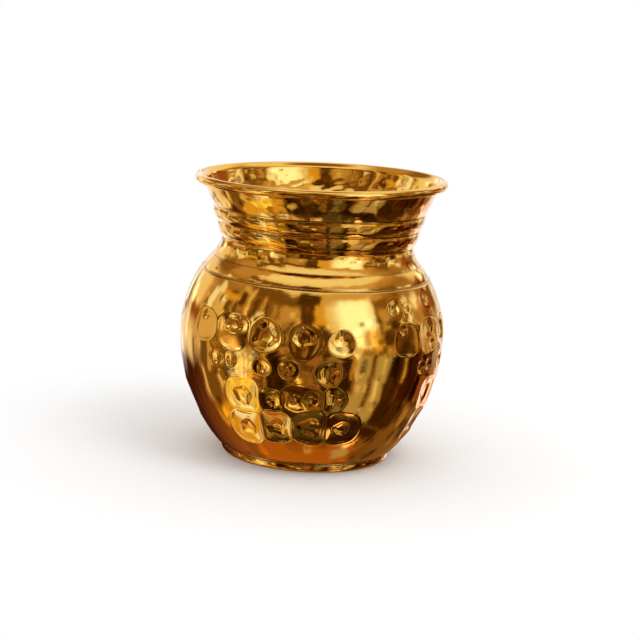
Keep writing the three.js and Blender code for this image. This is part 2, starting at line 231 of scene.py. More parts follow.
def allMarks():
    # the first panel as listed, the others turned and with each mark a little off its place
    panels = []
    for i, turn in enumerate(hammer["panels"]):
        panel = panelMarks.copy()
        number = np.arange(len(panel)) + i * len(panel)
        loose = 1 if i else 0
        panel[:, 0] += turn + loose * np.degrees(hammer["wanderAlong"] * uneven(number) / belly["radius"])
        panel[:, 1] += loose * hammer["wanderUp"] * uneven(number + 7)
        away = np.column_stack([uneven(number + 3), uneven(number + 11)])
        panel[:, 5:7] += loose * hammer["pitWander"] * away
        panels.append(panel)
    return np.vstack(panels + [strayMarks])


def hammered(points):
    # how deep the belly is struck at each point. A dish is d (1 - q), where q = (|u/w|^p + |v/h|^p)^(2/p)
    # for the distances u and v to the right of and above its centre. A pit adds d (1 - q^2) to it, the
    # deeper mark counts where two meet, and a low lip follows each rim. So that no mark is quite round,
    # q is multiplied by 1 + sway sin(3t + a), or in a pit by 1 + sway (sin(3t + a) + ripple sin(5t + b))
    dish = np.zeros(points.shape[:-1])
    pit = np.zeros_like(dish)
    lip = np.zeros_like(dish)
    for bearing, height, wide, tall, square, right, rise, pitRadius in allMarks():
        centre = turned(bellyRadiusAt(height), height, math.radians(bearing))
        normal = bellyNormal(centre)
        east = unit(np.array([-centre[1], centre[0], 0]))
        north = np.cross(normal, east)
        arm = points - centre
        near = np.sum(arm ** 2, axis=-1) < (2 * max(wide, tall)) ** 2
        u, v = arm[near] @ east, arm[near] @ north
        q = (np.abs(u / wide) ** square + np.abs(v / tall) ** square) ** (2 / square)
        q = q * (1 + hammer["sway"] * np.sin(3 * np.arctan2(v, u) + bearing))
        depth = wide * tall / (2 * hammer["flatFace" if square > 2 else "roundFace"])
        pitTurn = np.arctan2(v - rise, u - right)
        pitQ = ((u - right) ** 2 + (v - rise) ** 2) / pitRadius ** 2
        ripple = np.sin(3 * pitTurn + height) + hammer["pitRipple"] * np.sin(5 * pitTurn + 2 * bearing)
        pitQ = pitQ * (1 + hammer["pitSway"] * ripple)
        pitDepth = hammer["pitDepth"] * min(1, pitRadius / hammer["fullPit"])
        dish[near] = np.maximum(dish[near], depth * (1 - q))
        pit[near] = np.maximum(pit[near], pitDepth * (1 - pitQ ** 2))
        ring = hammer["lip"] * np.exp(-((np.sqrt(q) - 1) * min(wide, tall) / hammer["lipWidth"]) ** 2)
        pitRing = hammer["pitLip"] * np.exp(-((np.sqrt(pitQ) - 1) * pitRadius / hammer["lipWidth"]) ** 2)
        lip[near] = np.maximum(lip[near], np.maximum(ring, pitRing))
    return dish + pit - lip


def sheetWave(angle, height):
    # slow unevenness of beaten sheet: a sum of sines with 5, 11, 31 and 3 waves round the pot
    broad = np.sin(5 * angle + 0.19 * height) * np.sin(0.31 * height + 1.1)
    slanting = np.sin(11 * angle - 0.13 * height + 2.0)
    fine = np.sin(31 * angle + 0.4 * np.sin(0.25 * height) + 0.7) * np.sin(0.16 * height)
    steep = np.sin(3 * angle + 0.9 * height)
    return (sheetWaves["broad"] * broad + sheetWaves["slanting"] * slanting
            + sheetWaves["fine"] * fine + sheetWaves["steep"] * steep)


def bottomCorners():
    # middle, brow, flat seat, and the bend up into the belly
    seat = foot["height"] + foot["gap"]
    inner = foot["radius"] - foot["width"] - foot["margin"]
    outer = foot["radius"] - foot["margin"]
    endHeight = seat + foot["turn"]
    endRadius = float(bellyRadiusAt(endHeight))
    side = bellySide(endRadius, endHeight)
    bend = (endRadius + side[1] / side[0] * (endHeight - seat), seat)
    curve = bow((outer, seat), bend, (endRadius, endHeight), foot["turnSteps"])
    brow = (inner - foot["rise"], seat + foot["rise"] * foot["browShare"])
    return np.vstack([[(0, seat + foot["rise"]), brow, (inner, seat), (outer, seat)], curve]), side


def collarOffset(height, depth):
    # radius of the collar's wall at a height, moved in by `depth` at right angles to the wall
    return neckAt["collar"][0] + collarLean * (height - seam["height"]) - depth * math.hypot(1, collarLean)


stepHeight = seam["height"] - seam["gap"]

# sizes first, then counts of rows, columns and steps
neck = dict(sheet=0.5, swell=0.52, bandSwell=0.34, collarSwell=0.2, beadRadius=1.15, slit=0.3,
            wireClearance=0.2, soften=0.12, lowerCut=0.22, lowerGap=0.05, rows=104, curlRows=30, backRows=64,
            columns=420, wallSteps=40, lipSteps=30, cutSteps=7, fineSteps=1200)

# (radius, height) of the points where the neck's wall turns
neckAt = dict(collar=(float(bellyRadiusAt(stepHeight)) - seam["setIn"], seam["height"]), crease=(27.35, 52.8),
              waist=(25.35, 57.8), lowerGroove=(26.65, 62.1), upperGroove=(27.85, 66.1), lip=(30.75, 73.2),
              rim=(33.2, 74.6))
beadAt = np.array(neckAt["rim"]) - neck["beadRadius"]       # the middle of the rolled rim
collarLean = (neckAt["crease"][0] - neckAt["collar"][0]) / (neckAt["crease"][1] - neckAt["collar"][1])

# flats left by the planishing hammer
tiles = dict(around=54, tall=2.1, shift=0.37, depth=0.030, lift=0.4, inside=2.2, start=0.5, top=72.6)

# heights in mm of the neck's faint waves and of the hollows inside it, and where they start, end and fade
neckWaves = dict(short=0.020, broad=0.016, fine=0.012, hollows=0.030, streaks=0.022,
                 start=1, top=72.0, fade=3)

rimTilt = dict(rise=0.025, start=57, full=73)       # the rim stands higher on the right, by rise * x


def makeBowl():
    # one closed shell, followed from the pole below, out and up the belly, over the mouth and back inside
    sheet = belly["sheet"]
    bottom, lowSide = bottomCorners()
    depth = neck["sheet"] + seam["clearance"]
    top = stepHeight + seam["lap"]
    edge = float(bellyRadiusAt(stepHeight))
    step = (collarOffset(stepHeight, depth), stepHeight)
    mouth = np.array([(edge, stepHeight), step, (collarOffset(top, depth), top)])
    innerBottom = mitred(bottom, sheet, first=(0, -1), last=lowSide)
    innerMouth = mitred(mouth, sheet, first=bellySide(edge, stepHeight))
    heights = np.linspace(bottom[-1, 1], stepHeight, belly["fineSteps"])
    wall = np.column_stack([bellyRadiusAt(heights), heights])
    outside = evenAlong(wall, belly["rows"])
    inside = evenAlong(wall, belly["insideRows"])
    bottomOut = softCorners(bottom[:5], *bowlCorners["bottom"])[1:-1]
    bottomIn = softCorners(innerBottom[:5], *bowlCorners["bottomInside"])[1:-1]
    mouthOut = softCorners(mouth, *bowlCorners["mouth"])[1:]
    rim = softCorners([mouth[-1], innerMouth[-1], innerMouth[-1] - (0, 1)], *bowlCorners["rim"])[1:-1]
    mouthIn = softCorners(innerMouth, *bowlCorners["mouthInside"])[1:-1]

    angle = angles(belly["columns"])[None, :]
    place = lambda line: turned(line[:, :1], line[:, 1:], angle)

    def struck(line, inset):
        # the line turned round the axis, then moved in along the normal by marks, waves and inset
        plain = place(line)
        toEnd = np.minimum(line[:, 1] - bottom[-1, 1], stepHeight - line[:, 1])
        fade = np.clip(toEnd / sheetWaves["fade"], 0, 1)[:, None]
        depthHere = hammered(plain) - fade * sheetWave(angle, plain[..., 2])
        return plain - (depthHere + inset)[..., None] * bellyNormal(plain)

    points = np.concatenate([
        place(bottomOut), place(bottom[5:-1]), struck(outside, 0), place(mouthOut), place(rim),
        place(mouthIn[::-1]), struck(inside[::-1], sheet),
        place(innerBottom[5:-1][::-1]), place(bottomIn[::-1]),
    ])
    return gridMesh("bowlHammered", points, False, ((0, 0, bottom[0, 1]), (0, 0, innerBottom[0, 1])))


def neckLine():
    # collar, crease, waist, two swollen ribs, plain band, then the lip straight up to where it touches the
    # curl, a circle round the bead's middle. A Gaussian mean along the wall softens the creases
    curl = neck["beadRadius"] - neck["sheet"]
    arm = np.array(neckAt["lip"]) - beadAt
    start = math.atan2(arm[1], arm[0]) % (2 * math.pi) - math.acos(curl / math.hypot(*arm))
    end = start - 2 * math.pi + math.acos((curl - neck["slit"]) / neck["beadRadius"])
    bend = (neckAt["waist"][0], (neckAt["crease"][1] + neckAt["waist"][1]) / 2)
    touch = beadAt + curl * np.array([math.cos(start), math.sin(start)])
    steps = neck["wallSteps"]
    wall = np.vstack([
        [neckAt["collar"]],
        swollen(neckAt["collar"], neckAt["crease"], neck["collarSwell"], steps),
        bow(neckAt["crease"], bend, neckAt["waist"], steps),
        swollen(neckAt["waist"], neckAt["lowerGroove"], neck["swell"], steps),
        swollen(neckAt["lowerGroove"], neckAt["upperGroove"], neck["swell"], steps),
        swollen(neckAt["upperGroove"], neckAt["lip"], neck["bandSwell"], steps),
        swollen(neckAt["lip"], touch, 0, neck["lipSteps"]),
    ])
    fine = evenAlong(wall, neck["fineSteps"])
    width = neck["soften"] / (np.hypot(*(fine[1] - fine[0])))       # in steps of the fine line
    reach = int(4 * width)                                          # the mean ends at 4 widths
    kernel = np.exp(-0.5 * (np.arange(-reach, reach + 1) / width) ** 2)
    kernel /= kernel.sum()
    ahead = fine[:1] - (fine[1] - fine[0]) * np.arange(reach, 0, -1)[:, None]
    behind = fine[-1:] + (fine[-1] - fine[-2]) * np.arange(1, reach + 1)[:, None]
    padded = np.vstack([ahead, fine, behind])
    soft = np.column_stack([np.convolve(padded[:, k], kernel, mode="valid") for k in (0, 1)])
    around = np.linspace(start, end, neck["curlRows"])[1:]
    circle = beadAt + curl * np.column_stack([np.cos(around), np.sin(around)])
    return soft, circle


def tilted(points):
    # z + rise x s, where s goes smoothly from 0 at the waist to 1 at the rim
    s = np.clip((points[..., 2] - rimTilt["start"]) / (rimTilt["full"] - rimTilt["start"]), 0, 1)
    lifted = points.copy()
    lifted[..., 2] += rimTilt["rise"] * points[..., 0] * s ** 2 * (3 - 2 * s)
    return lifted


def planished(angle, height):
    # small flats in rows round the neck, each row shifted. In a flat with u and v from -1 to 1 across it,
    # the sheet moves out by depth (a u + b v + lift c) (1 - u^4) (1 - v^4), with a, b and c uneven from
    # flat to flat
    row = np.floor(height / tiles["tall"])
    along = (angle / (2 * np.pi) * tiles["around"] + tiles["shift"] * row) % tiles["around"]
    u, v = 2 * (along % 1) - 1, 2 * (height / tiles["tall"] - row) - 1
    number = np.floor(along) * 3 + row * 131
    lean = uneven(number) * u + uneven(number + 5) * v + tiles["lift"] * uneven(number + 9)
    return tiles["depth"] * lean * (1 - u ** 4) * (1 - v ** 4)


def makeNeck():
    # the outline of the sheet's two faces, turned round the axis with its radius r + waves + flats
    soft, circle = neckLine()
    face = np.vstack([evenAlong(soft, neck["rows"]), circle])
    whole = np.vstack([evenAlong(soft, neck["backRows"]), circle])
    back = whole - neck["sheet"] * sideOf(whole)
    back = back[back[:, 1] > seam["height"] + neck["lowerGap"]][::-1]
    corner = np.array([neckAt["collar"][0] - neck["sheet"] * math.hypot(1, collarLean), seam["height"]])
    lower = softCorners([corner, face[0], face[2]], neck["lowerCut"], neck["cutSteps"])[:-1]
    outline = np.vstack([lower, face[2:], back])
    angle = angles(neck["columns"])[None, :]
    radius, height = outline[:, :1], outline[:, 1:]
    # low sines round the wall, with 23, 9 and 41 waves, fading out at the seam and in the rim
    above = height - seam["height"]
    toEnd = np.minimum(above - neckWaves["start"], neckWaves["top"] - height)
    fade = np.clip(toEnd / neckWaves["fade"], 0, 1)
    wave = (neckWaves["short"] * np.sin(23 * angle + 0.8 * height) * np.sin(0.9 * height)
            + neckWaves["broad"] * np.sin(9 * angle + 1.3 * np.sin(0.5 * height))
            + neckWaves["fine"] * np.sin(41 * angle + 0.35 * height + 1.0))
    # the inside is rougher: it has small hollows besides, and stronger flats
    inner = (np.arange(len(outline)) >= len(outline) - len(back))[:, None]
    dents = np.sin(29 * angle + 1.7 * height) * np.sin(1.5 * height + 3 * np.sin(4 * angle))
    streaks = np.sin(17 * angle - 1.1 * height + 2.0 * np.sin(0.9 * height))
    hollows = neckWaves["hollows"] * dents + neckWaves["streaks"] * streaks
    flats = planished(angle, height) * (1 + (tiles["inside"] - 1) * inner)
    fadeFlats = np.clip(np.minimum(above - tiles["start"], tiles["top"] - height), 0, 1)
    points = turned(radius + fade * (wave + inner * hollows) + fadeFlats * flats, height, angle)
    return gridMesh("neckRibbed", tilted(points), True)


def makeRing(name, outline, columns):
    # a closed outline turned round the axis, and tilted with the rim where it is that high
    outline = np.asarray(outline, float)
    return gridMesh(name, tilted(turned(outline[:, :1], outline[:, 1:], angles(columns)[None, :])), True)


def makeFoot():
    # from the flat underside round the outer edge, over the top, down the inside and back by the chamfer
    inner, outer, rounding = foot["radius"] - foot["width"], foot["radius"], foot["rounding"]
    start = ((inner + foot["chamfer"] + outer - rounding) / 2, 0)       # in the middle of the flat underside
    curve = bow((outer - rounding, 0), (outer, 0), (outer, rounding), foot["roundSteps"])
    top = [(outer, rounding), (outer, foot["height"]), (inner, foot["height"])]
    inside = [(inner, foot["height"]), (inner, foot["chamfer"]), (inner + foot["chamfer"], 0), start]
    outline = np.vstack([
        [start, (outer - rounding, 0)], curve,
        softCorners(top, foot["topCut"], foot["cutSteps"])[1:],
        softCorners(inside, foot["chamferCut"], foot["cutSteps"])[1:-1],
    ])
    return makeRing("footRing", outline, foot["columns"])


wire = dict(sides=20, columns=320)


def makeWire():
    # a circle round the bead's middle
    around = angles(wire["sides"])
    radius = neck["beadRadius"] - neck["sheet"] - neck["wireClearance"]
    circle = beadAt + radius * np.column_stack([np.cos(around), np.sin(around)])
    return makeRing("rimWire", circle, wire["columns"])


braze = dict(bulgeSteps=9, columns=360)


def brazeOutline(inner, outer, bottom, gap):
    # a box that fills the gap, whose outer side bulges: (outer + gap/4 sin t, bottom + gap/2 (1 - cos t))
    t = np.linspace(0, np.pi, braze["bulgeSteps"])[1:-1]
    bulge = np.column_stack([outer + gap / 4 * np.sin(t), bottom + gap / 2 - gap / 2 * np.cos(t)])
    top = bottom + gap
    return np.vstack([[(inner, bottom), (outer, bottom)], bulge, [(outer, top), (inner, top)]])


# materials

class Shade:
    # one output of a node. + - * on it add Math nodes, also with a plain number on the left
    def __init__(self, tree, out=None):
        self.tree = tree
        self.out = out

    def add(self, kind, settings=None, values=None, out=0):
        # a node of that kind: its settings first, then a value or a link for each socket that is named
        node = self.tree.nodes.new(kind)
        for name, setting in (settings or {}).items():
            setattr(node, name, setting)
        for name, value in (values or {}).items():
            if isinstance(value, Shade):
                self.tree.links.new(value.out, node.inputs[name])
            else:
                node.inputs[name].default_value = value
        return Shade(self.tree, node.outputs[out]) if node.outputs else None

    def maths(self, operation, *terms):
        return self.add("ShaderNodeMath", {"operation": operation}, dict(enumerate(terms)))

    def __add__(self, other):
        return self.maths("ADD", self, other)

    def __radd__(self, other):
        return self.maths("ADD", other, self)

    def __sub__(self, other):
        return self.maths("SUBTRACT", self, other)

    def __rsub__(self, other):
        return self.maths("SUBTRACT", other, self)

    def __mul__(self, other):
        return self.maths("MULTIPLY", self, other)

    def __rmul__(self, other):
        return self.maths("MULTIPLY", other, self)

    def between(self, low, high):
        # 0 at low, 1 at high, smooth in between
        return self.add("ShaderNodeMapRange", {"interpolation_type": "SMOOTHSTEP"},
                        {"Value": self, "From Min": low, "From Max": high})

    def noise(self, where, scale, detail=2.0, roughness=0.5):
        return self.add("ShaderNodeTexNoise", {}, {"Vector": where, "Scale": scale, "Detail": detail,
                                                   "Roughness": roughness})

    def stretched(self, where, turn, scale):
        return self.add("ShaderNodeMapping", {}, {"Vector": where, "Rotation": turn, "Scale": scale})

    def mixed(self, factor, a, b):
        # colours a to b by factor
        return self.add("ShaderNodeMix", {"data_type": "RGBA"}, {"Factor": factor, 6: a, 7: b}, 2)


# the record's slots, with colours as linear values. The last colour is for the tarnish specks and also for
# the painted shade along the creases
finishes = {
    "hammered_brass": dict(color=(0.90, 0.53, 0.065), warm=(0.82, 0.42, 0.040), tarnishAndShade=(0.20, 0.085, 0.012),
                           roughness=0.02, smear=0.03, scratch=0.10),
    "polished_brass": dict(color=(0.90, 0.53, 0.065), warm=(0.82, 0.42, 0.040), tarnishAndShade=(0.16, 0.070, 0.010),
                           roughness=0.02, smear=0.03, scratch=0.12),
    "brass_wire": dict(color=(0.80, 0.46, 0.07), warm=(0.66, 0.34, 0.05), tarnishAndShade=(0.20, 0.10, 0.02),
                       roughness=0.22, smear=0.10, scratch=0.3),
    "braze": dict(color=(0.86, 0.60, 0.16), warm=(0.72, 0.44, 0.10), tarnishAndShade=(0.22, 0.12, 0.03),
                  roughness=0.20, smear=0.15, scratch=0.3),
}

# noise scales of the patterns in the brass, per metre, from broad to fine
grain = dict(cloud=55, smear=90, speckGroup=120, scratch=260, ragged=420, speck=700, fine=2600)

# how much each pattern counts in the colour, the gloss and the bump. Raggedness and bumpDepth are in metres
wear = dict(cloud=0.45, speck=0.5, raggedness=0.00016, scratchGloss=0.02, darkGloss=0.25,
            scratchBump=0.5, fineBump=0.25, bumpDepth=0.00002)


def brass(name, creases=()):
    # polished brass: warm clouds in the colour, smears and fine scratches in the gloss, tarnish in scattered
    # specks, and painted shade along the creases, which are given as (height, half width, strength)
    look = finishes[name]
    material = bpy.data.materials.new(name)
    material.use_nodes = True
    tree = material.node_tree
    tree.nodes.clear()
    s = Shade(tree)
    where = s.add("ShaderNodeTexCoord", {}, {}, "Object")
    height = s.add("ShaderNodeSeparateXYZ", {}, {"Vector": where}, "Z")
    cloud = s.noise(where, grain["cloud"], 3).between(0.35, 0.7)
    slanted = s.stretched(where, (0.4, 0.2, 0.9), (1, 1, 3))
    smear = s.noise(slanted, grain["smear"], 4, 0.6).between(0.42, 0.75)
    color = s.mixed(cloud * wear["cloud"], (*look["color"], 1), (*look["warm"], 1))
    ragged = s.noise(where, grain["ragged"], 2) * wear["raggedness"] - wear["raggedness"] / 2
    speckGroup = s.noise(where, grain["speckGroup"], 1).between(0.5, 0.65)
    dark = s.noise(where, grain["speck"], 2).between(0.69, 0.76) * speckGroup * wear["speck"]
    # painted shade: a dark line along each crease, in the same colour as the tarnish specks
    for crease, width, strength in creases:
        off = height + ragged - crease * 0.001
        line = 1 - off.maths("ABSOLUTE", off).between(0.25 * width * 0.001, width * 0.001)
        dark = dark.maths("MAXIMUM", dark, line * strength)
    color = s.mixed(dark, color, (*look["tarnishAndShade"], 1))
    lines = [s.noise(s.stretched(where, turn, (1, 9, 60)), grain["scratch"], 1).between(0.55, 0.8)
             for turn in ((0.3, 0.9, 0.2), (1.2, 0.4, 2.0), (2.1, 1.6, 0.7))]
    scratch = lines[0] + lines[1] + lines[2]
    roughness = (look["roughness"] + look["smear"] * smear
                 + wear["scratchGloss"] * scratch + wear["darkGloss"] * dark)
    bump = scratch * wear["scratchBump"] + s.noise(where, grain["fine"], 2) * wear["fineBump"]
    normal = s.add("ShaderNodeBump", {}, {"Strength": look["scratch"], "Distance": wear["bumpDepth"],
                                          "Height": bump})
    shader = s.add("ShaderNodeBsdfPrincipled", {}, {"Base Color": color, "Metallic": 1.0,
                                                    "Roughness": roughness, "Normal": normal})
    s.add("ShaderNodeOutputMaterial", {}, {"Surface": shader})
    return material


def dress(piece, slotName, node, creases=()):
    # each piece gets its brass and takes the place of its CAD node
    piece.data.materials.append(brass(slotName, creases))
    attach(piece, "root")
    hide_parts(node)
    print("made", piece.name, len(piece.data.vertices), "vertices")


# painted shade along the creases, grooves, joints and the foot's bottom edge: height and half width in mm,
# then strength
bowlCreases = ((seam["height"] - 0.2, 0.4, 0.5), (foot["height"] + foot["gap"], 1.0, 0.6))
neckCreases = ((neckAt["crease"][1], 0.3, 0.4), (neckAt["waist"][1] + 0.1, 0.25, 0.3),
               (neckAt["lowerGroove"][1], 0.3, 0.5), (neckAt["upperGroove"][1], 0.3, 0.5),
               (seam["height"], 0.25, 0.4))
footCreases = ((foot["height"] + 0.1, 0.3, 0.6), (0.0, 0.4, 0.3))

dress(makeBowl(), "hammered_brass", "bowl", bowlCreases)
dress(makeNeck(), "polished_brass", "neck", neckCreases)
dress(makeFoot(), "polished_brass", "foot_ring", footCreases)
dress(makeWire(), "brass_wire", "rim_wire")

spigot = collarOffset(stepHeight, neck["sheet"] + seam["clearance"])
neckSeam = brazeOutline(spigot + seam["clearance"], neckAt["collar"][0], stepHeight, seam["gap"])
dress(makeRing("neckSeamBraze", neckSeam, braze["columns"]), "braze", "neck_seam_braze")
footSeam = brazeOutline(foot["radius"] - foot["width"] + foot["margin"], foot["radius"] - foot["margin"],
                        foot["height"], foot["gap"])
dress(makeRing("footSeamBraze", footSeam, braze["columns"]), "braze", "foot_seam_braze")


# studio: a white world and floor, a soft lamp for the shadow, and a dome of cards that only the metal sees

studio = dict(domeRadius=2.0, columns=900, rows=450, lastRow=89.5,
              floorRadius=1.6, floorStart=2, floorRows=40, floorColumns=96, floorColor=0.92,
              whiteFrom=0.045, whiteTo=0.13,
              lamp=dict(place=(0.45, -0.35, 0.9), size=0.5, power=2.2))

# tones of the cards, from 0, nearly black and warm, to 5, cool white, and 6, brighter still
cardTones = np.array([
    (0.026, 0.009, 0.003), (0.118, 0.054, 0.019), (0.29, 0.165, 0.075), (0.60, 0.41, 0.32),
    (0.90, 0.78, 0.88), (1.06, 1.27, 2.9), (1.45, 1.8, 4.6),
])
cardTints = dict(orange=(0.44, 0.155, 0.03), rust=(0.33, 0.12, 0.05), maroon=(0.055, 0.013, 0.008),
                 brick=(0.36, 0.19, 0.15), tan=(0.26, 0.22, 0.25), lilac=(0.50, 0.43, 0.52),
                 olive=(0.10, 0.085, 0.05), gold=(0.78, 0.50, 0.14), white=(1.02, 0.98, 1.05),
                 lemon=(0.95, 0.80, 0.40), blush=(2.4, 1.5, 1.8), pink=(1.05, 0.78, 1.0))

# tone of the bare dome at some elevations, in degrees
domeLevels = np.array([
    (-72, 1.2), (-45, 1.6), (-20, 1.9), (0, 2.5), (20, 2.5), (36, 2.2), (48, 3.0), (54, 4.5), (71, 4.6),
    (78, 2.2), (90, 1.4),
])

# cards: azimuth, elevation, width, height, softness (all degrees), then a tone or a tint's name
domeCards = (
    (180, 20, 100, 60, 20, "white"),
    (-120, 50, 90, 30, 12, 2.8),
    # upper left
    (-44, 30, 60, 22, 6, 1.8),
    (-22, 33, 20, 26, 4, 2.9),
    (-48, 43, 74, 9, 4, 1.4),
    (-36, 51, 90, 6, 3, 4.2),
    (-23, 29, 20, 11, 3, 2.9),
    (-20, 29, 6, 7, 2, 3.7),
    (-74, 30, 22, 22, 5, 2.5),
    (-73, 29, 8, 13, 3, 0.9),
    (-73, 38, 14, 3, 2, 3.4),
    (-64, 30, 3.5, 22, 2, 3.6),
    (-57, 28, 4, 18, 2, 1.1),
    (-50, 29, 4, 20, 2, 3.0),
    (-45, 27, 3, 16, 2, 1.2),
    (-37, 27, 3, 16, 2, 2.7),
    (-86, 23, 6, 18, 3, 1.4),
    (-96, 19, 14, 14, 3, 3.8),
    (-94, 22, 6, 8, 3, 5.2),
    (-103, 26, 8, 8, 3, 4.6),
    (-107, 17, 6, 12, 3, 5),
    (-116, 16, 8, 14, 3, 3.0),
    (-132, 12, 26, 16, 8, "white"),
    (-152, 2, 40, 14, 6, "white"),
    (-108, -2, 20, 9, 4, 3.5),
    (-126, 0, 18, 8, 5, "rust"),
    (-140, 34, 50, 18, 10, 1.9),
    (-88, 25, 22, 6, 3, "gold"),
    # upper right, with the brightest card
    (11, 34, 16, 34, 4, "gold"),
    (19, 33, 10, 36, 4, 4.1),
    (42, 24, 46, 46, 8, 4.5),
    (41, 26, 36, 36, 8, 5.4),
    (40, 29, 26, 22, 8, 6),
    (56, 8, 18, 12, 5, 3.4),
    (44, 46, 66, 9, 5, 3.3),
    (70, 24, 14, 34, 5, 3.0),
    (64, 14, 4, 30, 2, 2.0),
    (84, 20, 22, 24, 5, 1.4),
    (80, 25, 6, 6, 2, 3.8),
    (87, 16, 5, 8, 2, 3.8),
    (92, 27, 5, 5, 2, 0.4),
    (78, 15, 6, 6, 2, 0.5),
    (99, 18, 8, 18, 3, 4.4),
    (112, 20, 12, 8, 4, 4.6),
    (122, 15, 24, 10, 4, 2.7),
    (80, 32, 34, 8, 4, 1.7),
    (128, 12, 22, 18, 6, "rust"),
    (146, 6, 16, 12, 5, 1.6),
    (162, 0, 26, 16, 6, "white"),
    # a dark upright with a bar across its top and a dark block below it
    (-5, 33, 13, 22, 2, 0.75),
    (-4, 46, 25, 9, 3, 0.6),
    (-4, 6, 32, 30, 5, 0.5),
    (-5, 8, 9, 10, 3, "brick"),
    (-5, 36, 3, 8, 2, 1.3),
    # level with the pot
    (-44, 4, 38, 26, 5, 1.6),
    (-42, 13, 22, 8, 3, 3.2),
    (-36, -2, 10, 6, 3, "brick"),
    (-51, 12, 7, 22, 3, 4.7),
    (-33, 8, 5, 18, 2, 1.0),
    (-84, 7, 20, 6, 4, 0.6),
    (-70, 2, 26, 14, 4, 1.9),
    (-66, 8, 8, 10, 3, 3.4),
    (-72, 10, 4, 8, 2, 5),
    (6, -2, 3, 6, 2, 2.8),
    (16, 6, 10, 18, 4, 1.4),
    (25, 10, 9, 16, 3, 4.6),
    (34, -6, 20, 10, 4, 4.2),
    (62, 0, 12, 14, 4, "gold"),
    (72, 6, 9, 12, 3, 0.8),
    (96, 2, 18, 12, 5, 0.8),
    (92, 8, 5, 8, 2, 4.4),
    (112, 2, 12, 10, 4, 3.6),
    # below, roughly from left to right
    (-150, -19, 52, 26, 6, "white"),
    (-118, -20, 16, 30, 5, 3.4),
    (-118, -46, 56, 24, 10, "rust"),
    (-102, -22, 16, 26, 4, 1.5),
    (-99, -16, 5, 12, 2, 3.2),
    (-86, -24, 15, 28, 4, 2.0),
    (-90, -30, 4, 14, 2, 3.8),
    (-83, -16, 4, 10, 2, 0.6),
    (-66, -23, 20, 34, 4, 4.6),
    (-76, -14, 18, 10, 3, 1.6),
    (-70, -30, 3, 18, 2, 2.8),
    (-60, -16, 3, 14, 2, 3.0),
    (-47, -24, 14, 32, 3, 2.3),
    (-52, -22, 5, 26, 2, "gold"),
    (-40, -14, 5, 16, 2, "gold"),
    (-51, -14, 4, 10, 2, 5),
    (-44, -30, 4, 12, 2, 1.0),
    (-80, -47, 74, 18, 6, "gold"),
    (-72, -40, 30, 10, 4, "lemon"),
    (-92, -55, 12, 6, 3, 5),
    (-66, -50, 8, 10, 3, 1.8),
    (-50, -60, 36, 14, 5, 2.4),
    (-38, -56, 10, 6, 3, 4),
    (-58, -60, 8, 6, 3, 5),
    (-30, -28, 17, 40, 2, 0.15),
    (-12, -24, 18, 32, 3, 1.6),
    (-15, -18, 4, 7, 2, 3.7),
    (-8, -30, 4, 8, 2, 4.0),
    (4, -24, 9, 34, 2, "brick"),
    (12, -28, 6, 44, 2, 0.4),
    (19, -29, 8, 42, 2, "tan"),
    (25, -30, 4, 40, 1.5, "olive"),
    (33, -30, 11, 46, 2, 0.1),
    (37, -18, 3, 12, 1.5, 2.6),
    (49, -29, 14, 40, 2, "lilac"),
    (56, -26, 3, 34, 1.5, 0.8),
    (66, -29, 13, 38, 2, "lilac"),
    (64, -30, 4, 12, 2, 4.2),
    (81, -28, 15, 38, 3, 0.2),
    (97, -28, 17, 38, 4, "maroon"),
    (92, -18, 4, 10, 2, 2.4),
    (116, -18, 34, 22, 6, "maroon"),
    (110, -14, 5, 14, 2, "rust"),
    (124, -20, 5, 14, 2, "rust"),
    (144, -21, 18, 3, 2, "pink"),
    (98, -38, 26, 12, 4, 0.4),
    (163, -11, 26, 18, 6, "white"),
    (150, -16, 6, 12, 3, "pink"),
    # lower still
    (-24, -51, 44, 16, 5, 0.4),
    (-34, -47, 10, 6, 3, 3.6),
    (34, -57, 76, 13, 3, 0.1),
    (58, -44, 30, 2.5, 1.5, "lilac"),
    (18, -56, 14, 6, 2, "olive"),
    (48, -55, 34, 16, 4, 0.1),
    (80, -52, 50, 8, 3, 0.2),
    (-10, -62, 30, 10, 5, 0.7),
    (30, -64, 60, 10, 5, "olive"),
    (-42, -66, 26, 6, 3, 3.4),
    (-6, -68, 18, 4, 3, "pink"),
    (150, -64, 24, 14, 8, "tan"),
    # warm from below, higher at the sides than in front, with small bright cards in it
    (0, -90, 360, 28, 6, "orange"),
    (-110, -74, 120, 22, 8, "orange"),
    (110, -74, 100, 24, 8, "orange"),
    (-40, -80, 50, 8, 5, "rust"),
    (20, -84, 60, 6, 4, 2.9),
    (75, -62, 26, 9, 3, "blush"),
    (100, -70, 30, 8, 4, "lilac"),
)

# small patches at places drawn by lot, with the ranges of their sizes in degrees
clutter = dict(patches=440, seed=8, lowest=-68, highest=22, wide=(1.5, 7), tall=(2, 9), soft=1.2,
               darker=1.05, lighter=0.5, least=-1.8, most=0.9)

# how far the edges of all cards wander, in degrees
wander = dict(sideways=0.7, upwards=0.8, fine=0.4)


def toneAt(level):
    # the colour between the two tones that are next to the level
    steps = np.arange(len(cardTones))
    return np.stack([np.interp(level, steps, cardTones[:, k]) for k in range(3)], axis=-1)


def cardCover(a, e, azimuthAt, elevationAt, wide, tall, soft):
    # smooth((w/2 - |da|) / soft) * smooth((h/2 - |de|) / soft), where smooth(x) = y^2 (3 - 2y) and y is
    # x + 1/2 kept between 0 and 1
    smooth = lambda x: np.clip(x + 0.5, 0, 1) ** 2 * (3 - 2 * np.clip(x + 0.5, 0, 1))
    da = np.abs((a - azimuthAt + 180) % 360 - 180)
    return smooth((wide / 2 - da) / soft) * smooth((tall / 2 - np.abs(e - elevationAt)) / soft)


